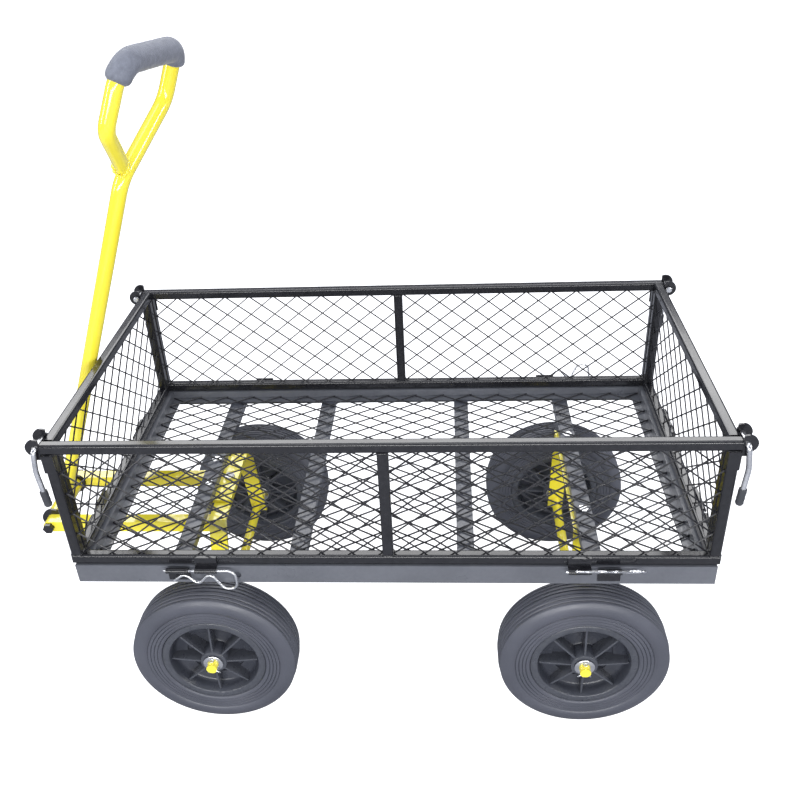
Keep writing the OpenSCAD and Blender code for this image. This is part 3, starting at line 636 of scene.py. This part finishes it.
def makeLatches(s):
    lean, lower = math.radians(s["lean"]), math.radians(s["lean"] - s["turn"])
    top = Vector((-s["earX"], -s["plane"], s["height"]))
    knee = top + Vector((-math.sin(lean), 0, -math.cos(lean))) * s["upper"]
    down = Vector((-math.sin(lower), 0, -math.cos(lower)))
    foot = knee + down * s["lower"]
    path = roundedPath([(-s["earX"], -s["inner"], s["height"]), top, knee, foot + down * 0.02],
                       [0, 0.006, 0.06, 0], 9)
    r, length = s["grip"]
    gripProfile = [(0.0042, -0.0006), (0.0052, 0), (r, 0.0015), (r * 1.03, 0.006),
                   (r * 0.97, 0.010), (r * 1.03, 0.014), (r * 0.97, 0.018), (r * 1.03, 0.022),
                   (r, length - 0.003), (r * 0.8, length - 0.0006), (r * 0.35, length),
                   (0, length)]
    for end in ("front", "rear"):
        for side in ("left", "right"):
            turn = (Matrix.Translation((cartX, 0, 0))
                    @ Matrix.Diagonal((1 if end == "front" else -1,
                                       1 if side == "left" else -1, 1, 1)))
            label = f"{end}_{side}"
            rod = Shape()
            rod.tube(path, s["radius"], 16)
            rod.turned(s["head"], (-s["earX"], -s["inner"], s["height"]), (0, -1, 0), 24)
            name = f"{end}{side.capitalize()}"
            rod.make(name + "LatchRod", "zincPlate", f"latch_{label}",
                     [f"latch_rod_{label}"], turn=turn)
            grip = Shape()
            grip.turned(gripProfile, foot, down, 24)
            grip.make(name + "LatchGrip", "vinyl", f"latch_{label}",
                      [f"latch_grip_{label}"], turn=turn)


makeLatches(latchSettings)
print("latches made")


# handle

handleSettings = {
    "pivot": (-0.5145, 0, 0.254), "lean": 20.9, "twist": 11.5, "radius": 0.011,
    "loopTop": 0.767, "loopRight": 0.090, "loopLeft": -0.060,
    "bends": [0, 0.050, 0.045, 0.022, 0.036, 0.030, 0],
    "weldAt": (-0.0105, 0.6195), "weldReach": (0.0035, 0.0165), "weldOff": 0.0108,
    "gripRadius": 0.0168, "gripSides": 32, "gripEnds": (0.738, 0.728), "gripSplay": 0.0022,
    "gripTaper": [0.70, 0.90, 0.975],
}


def loopPoint(h, q, s):
    lean, twist = math.radians(h["lean"]), math.radians(h["twist"])
    x = q * math.sin(twist)
    return Vector(h["pivot"]) + Vector((
        x * math.cos(lean) + s * math.sin(lean), q * math.cos(twist),
        s * math.cos(lean) - x * math.sin(lean)))


def makeHandle(h):
    top, right, left = h["loopTop"], h["loopRight"], h["loopLeft"]
    # the tube runs up, swings out to the right, over the top and back to its own stem
    flat = roundedPath(
        [(0, 0.012, 0), (0, 0.596, 0), (right, 0.694, 0), (right, top, 0), (left, top, 0),
         (-0.067, 0.679, 0), (-0.004, 0.617, 0)],
        h["bends"], 6)
    tube = Shape()
    tube.tube([loopPoint(h, p.x, p.y) for p in flat], h["radius"], 32)
    tube.make("handleTube", "yellowEnamel", "handle", ["handle_tube"], sharp=50)

    # weld round the end of the loop, where it meets the stem
    bead = Shape()
    lean = math.radians(h["lean"])
    normal = Vector((math.cos(lean), 0, -math.sin(lean)))
    (q0, s0), (dq, ds) = h["weldAt"], h["weldReach"]
    ring, wide = [], []
    for k in range(73):
        a = math.radians(k * 5)
        ring.append(loopPoint(h, q0 - dq * math.cos(a), s0 + ds * math.cos(a))
                    + normal * (h["weldOff"] * math.sin(a)))
        wide.append(0.0021 + 0.0007 * math.sin(k * 1.15) + 0.0004 * noise.noise((k * 0.7, 0, 0)))
    bead.tube(ring, wide, 10)
    bead.make("handleWeld", "yellowEnamel", "handle", sharp=70)

    # the foam follows the tube over the top and stops within both bends
    rightEnd, leftEnd = h["gripEnds"]
    gripFlat = roundedPath([(right, rightEnd, 0), (right, top, 0), (left, top, 0),
                            (left - h["gripSplay"], leftEnd, 0)], [0, 0.022, 0.036, 0], 5)[1:-4]
    path = [loopPoint(h, p.x, p.y) for p in gripFlat]
    dense = []
    for a, b in zip(path, path[1:]):
        count = max(1, int((b - a).length / 0.004))
        dense += [a.lerp(b, i / count) for i in range(count)]
    dense.append(path[-1])
    n, r = len(dense), h["gripRadius"]
    radii = []
    for i in range(n):
        d = min(i, n - 1 - i)
        taper = h["gripTaper"][d] if d < len(h["gripTaper"]) else 1
        radii.append(r * taper * (1 + 0.012 * noise.noise((i * 0.35, 3.1, 0.4))))
    grip = Shape()
    grip.tube(dense, radii, h["gripSides"])
    made = grip.make("handleFoam", "foam", "handle", ["handle_grip"], sharp=60)


makeHandle(handleSettings)
print("handle made")


# wheels

wheelSettings = {
    "places": {"front": -0.2215, "rear": 0.3395}, "across": 0.208, "height": 0.127,
    "radius": 0.127, "half": 0.030, "rim": 0.080,
    "ribs": 8, "ribHalf": 0.0014, "ribFoot": 0.0030,
    "ribTop": [(0.0200, 0.0268), (0.0445, 0.0250), (0.0662, 0.0225)],  # radius, height
}


def tyreProfile(s):
    # half of the section, from the rim's edge out over the wall and the ribbed tread
    r, half = s["radius"], s["half"]
    wall = [(s["rim"], half - 0.0045), (s["rim"] + 0.001, half - 0.0022)]
    x = s["rim"] + 0.003
    for k in range(4):  # fine rings moulded beside the rim
        wall += [(x, half - 0.0012), (x + 0.0028, half - 0.0011), (x + 0.0036, half - 0.0024),
                 (x + 0.0044, half - 0.0011)]
        x += 0.0052
    wall += [(x + 0.002, half - 0.0006), (r - 0.020, half), (r - 0.012, half - 0.0006),
             (r - 0.0065, half - 0.0026), (r - 0.0052, half - 0.0036)]
    tread = []
    y = half - 0.0046
    top = r - 0.0028
    for k in range(4):  # ribs round the tread
        crown = top + (r - top) * min(1, (k + 1) / 3)
        tread += [(crown - 0.0006, y), (crown, y - 0.0010), (crown, y - 0.0042),
                  (crown - 0.0022, y - 0.0050), (crown - 0.0022, y - 0.0056)]
        y -= 0.0064
    return wall + tread


def addRib(shape, centre, angle, face, s):
    # slopes from the boss down to the dish wall, on the outer or the inner face
    out = Vector((math.cos(angle), 0, math.sin(angle)))
    flat = Vector((-math.sin(angle), 0, math.cos(angle)))
    points, faces = [], []
    for r, h in s["ribTop"]:
        for y in (s["ribFoot"] * face, h * face):
            for t in (-s["ribHalf"], s["ribHalf"]):
                points.append(Vector(centre) + out * r + flat * t + Vector((0, y, 0)))
    last = (len(s["ribTop"]) - 1) * 4
    for b in range(0, last, 4):
        c = b + 4
        faces += [(b, c, c + 2, b + 2), (b + 1, b + 3, c + 3, c + 1),
                  (b + 2, c + 2, c + 3, b + 3), (b, b + 1, c + 1, c)]
    faces += [(0, 2, 3, 1), (last, last + 1, last + 3, last + 2)]
    if face > 0:
        faces = [tuple(reversed(f)) for f in faces]
    shape.add(points, faces)


def makeWheels(s):
    outer = tyreProfile(s)
    section = outer + [(r, -y) for r, y in reversed(outer)]
    section.append((s["rim"] - 0.0005, 0))
    half, rim = s["half"], s["rim"]
    dish = [  # rim's face, deep wall, stepped web and hub boss
        (rim, half - 0.007), (rim - 0.0004, half - 0.0034), (rim - 0.0012, half - 0.0028),
        (0.0705, half - 0.0028), (0.0693, half - 0.0034), (0.0688, half - 0.0045),
        (0.0655, half - 0.0165), (0.0640, half - 0.0205), (0.0610, half - 0.0225),
        (0.0470, half - 0.0240), (0.0458, half - 0.0246), (0.0452, half - 0.0270),
        (0.0225, half - 0.0275), (0.0210, half - 0.0265), (0.0203, half - 0.0022),
        (0.0195, half - 0.0008), (0.0120, half - 0.0004)]
    rimSection = dish + [(r, -y) for r, y in reversed(dish)]
    for end, x in s["places"].items():
        for side, sign in (("left", -1), ("right", 1)):
            label, name = f"{end}_{side}", f"{end}{side.capitalize()}"
            centre = (x, sign * s["across"], s["height"])
            tyre = Shape()
            tyre.turned(section, centre, (0, sign, 0), 128, closed=True)
            tyre.make(name + "Tyre", "tyreRubber", f"wheel_{label}", [f"tyre_{label}"], sharp=50)
            rimShape = Shape()
            rimShape.turned(rimSection, centre, (0, sign, 0), 96, closed=True)
            rimShape.make(name + "Rim", "rimPlastic", f"wheel_{label}", [f"rim_{label}"],
                          sharp=42)
            ribs = Shape()
            for k in range(s["ribs"]):
                for face in (1, -1):
                    addRib(ribs, centre, math.radians(360 / s["ribs"] * k), face, s)
            ribs.make(name + "Ribs", "rimPlastic", f"wheel_{label}", bevel=0.0003)


makeWheels(wheelSettings)

washerSettings = {"radius": 0.0150, "bore": 0.00805, "pin": 0.0015}


def makeWashers(s):
    for end, body in (("front", "steered_axle"), ("rear", "chassis")):
        x = wheelSettings["places"][end]
        height = wheelSettings["height"]
        across = wheelSettings["across"]
        washers = Shape()
        for sign in (-1, 1):
            for y, thick in ((across - 0.0330, 0.0020), (across + 0.0310, 0.0020)):
                section = [(s["bore"], 0), (s["radius"] - 0.0006, 0), (s["radius"], 0.0005),
                           (s["radius"], thick - 0.0006), (s["radius"] - 0.0008, thick),
                           (s["bore"] + 0.0004, thick), (s["bore"], thick - 0.0004)]
                washers.turned(section, (x, sign * y, height), (0, sign, 0), 48, closed=True)
            # split pin through the axle: an eye above, two legs bent apart below
            y = sign * (across + 0.0365)
            eye = [(x - 0.0012, y, height + 0.0085), (x - 0.0032, y, height + 0.0115),
                   (x, y, height + 0.0152), (x + 0.0032, y, height + 0.0115),
                   (x + 0.0012, y, height + 0.0085)]
            washers.tube(roundedPath(eye, [0, 0.0016, 0.0022, 0.0016, 0]), s["pin"] * 0.75, 8)
            for lean in (-1, 1):
                leg = [(x + lean * 0.0008, y, height + 0.009),
                       (x + lean * 0.0008, y, height - 0.009),
                       (x + lean * 0.0095, y - sign * 0.001, height - 0.0150)]
                washers.tube(roundedPath(leg, [0, 0.003, 0]), s["pin"] * 0.75, 8, domed=0.0006)
        washers.make(end + "AxleWashers", "zincPlate", body, [end + "_axle_washers"])


makeWashers(washerSettings)
print("wheels made")


# small welds and tube plugs

weldSettings = {
    "bead": 0.0016, "panelY": 0.234, "rows": ((0.3465, 1), (0.520, -1)),
    "posts": (-0.442, 0, 0.442), "flat": 0.0076, "corner": 0.0092,
    "plugX": (-0.4492, 0.4492), "plugZ": (0.339, 0.5275), "plugHalf": 0.0066,
    "plugThick": 0.0008, "hole": (-0.215, 0.2408, 0.313), "holeRadius": 0.0065,
    "holeDepth": 0.0005,
}


def makeHolePlugs(w):
    # dark discs behind the round holes of the tray's long sides
    r, depth = w["holeRadius"], w["holeDepth"]
    x, y, z = w["hole"]
    for side, sign in (("left", -1), ("right", 1)):
        disc = Shape()
        disc.turned([(0, 0), (r, 0), (r, depth), (0, depth)],
                    (cartX + x, sign * y, z), (0, -sign, 0), 32)
        disc.make(side + "HolePlug", "rimPlastic", "chassis")


def makeWelds(w):
    # beads round the posts of the long panels, and the caps of their tube ends
    for side, sign in (("left", -1), ("right", 1)):
        welds = Shape()
        y0 = sign * w["panelY"]
        for z, into in w["rows"]:
            for x in [cartX + post for post in w["posts"]]:
                ring = []
                for k in range(41):
                    a = 2 * math.pi * k / 40
                    c, d = math.cos(a), math.sin(a)
                    reach = min(w["flat"] / max(abs(c), abs(d)), w["corner"])
                    reach *= 1 + 0.02 * math.sin(5 * a + x * 90)
                    ring.append((x + c * reach, y0 + d * reach, z + into * 0.0004))
                radii = [w["bead"] * (0.75 + 0.3 * noise.noise((k * 0.6, x * 20, z * 30)))
                         for k in range(41)]
                welds.tube(ring, radii, 6)
        welds.make(side + "PanelWelds", "blackEnamel", side + "_panel", sharp=80)
        plugs = Shape()
        half, thick = w["plugHalf"], w["plugThick"]
        for x in [cartX + across for across in w["plugX"]]:
            for z in w["plugZ"]:
                plugs.plate((x - thick, y0 - half, z - half), (x + thick, y0 + half, z + half))
        plugs.make(side + "PanelPlugs", "rimPlastic", side + "_panel", bevel=0.0004)


makeHolePlugs(weldSettings)
makeWelds(weldSettings)
print("welds made")


# finishes of the parts that stay as they are

carried = {
    "blackEnamel": ["tray_hinge_knuckles", "left_panel_frame", "left_panel_fittings",
                    "right_panel_frame", "right_panel_fittings", "rear_panel_frame",
                    "rear_panel_fittings", "front_panel_frame", "front_panel_fittings",
                    "tongue_bolt"],
    "trayEnamel": ["tray_rail_front", "tray_rail_rear", "tray_rail_left", "tray_rail_right"],
    "memberEnamel": ["cross_members"],
    "yellowEnamel": ["rear_bracket", "rear_axle", "swivel_plate", "front_bracket",
                     "front_axle", "tongue_arms", "handle_sleeve"],
    "zincPlate": ["bracket_bolts", "king_bolt"],
    "rimPlastic": ["bush_front_left", "bush_front_right", "bush_rear_left", "bush_rear_right"],
}
softened = {  # edge rounding in metres
    "tray_rail_front": 0.0007, "tray_rail_rear": 0.0007, "tray_rail_left": 0.0007,
    "tray_rail_right": 0.0007, "cross_members": 0.0012, "rear_bracket": 0.0010,
    "front_bracket": 0.0010, "swivel_plate": 0.0010, "tongue_arms": 0.0016,
    "tongue_bolt": 0.0006, "king_bolt": 0.0005, "bracket_bolts": 0.0004,
    "left_panel_fittings": 0.0004, "right_panel_fittings": 0.0004,
    "front_panel_fittings": 0.0004, "rear_panel_fittings": 0.0004,
    "tray_hinge_knuckles": 0.0004, "front_axle": 0.0010, "rear_axle": 0.0010,
}
for finish, names in carried.items():
    for name in names:
        part = nodes[name]
        part.data.materials.clear()
        part.data.materials.append(material[finish])
        if name in softened:
            roundEdges(part, softened[name])
print("finishes set")
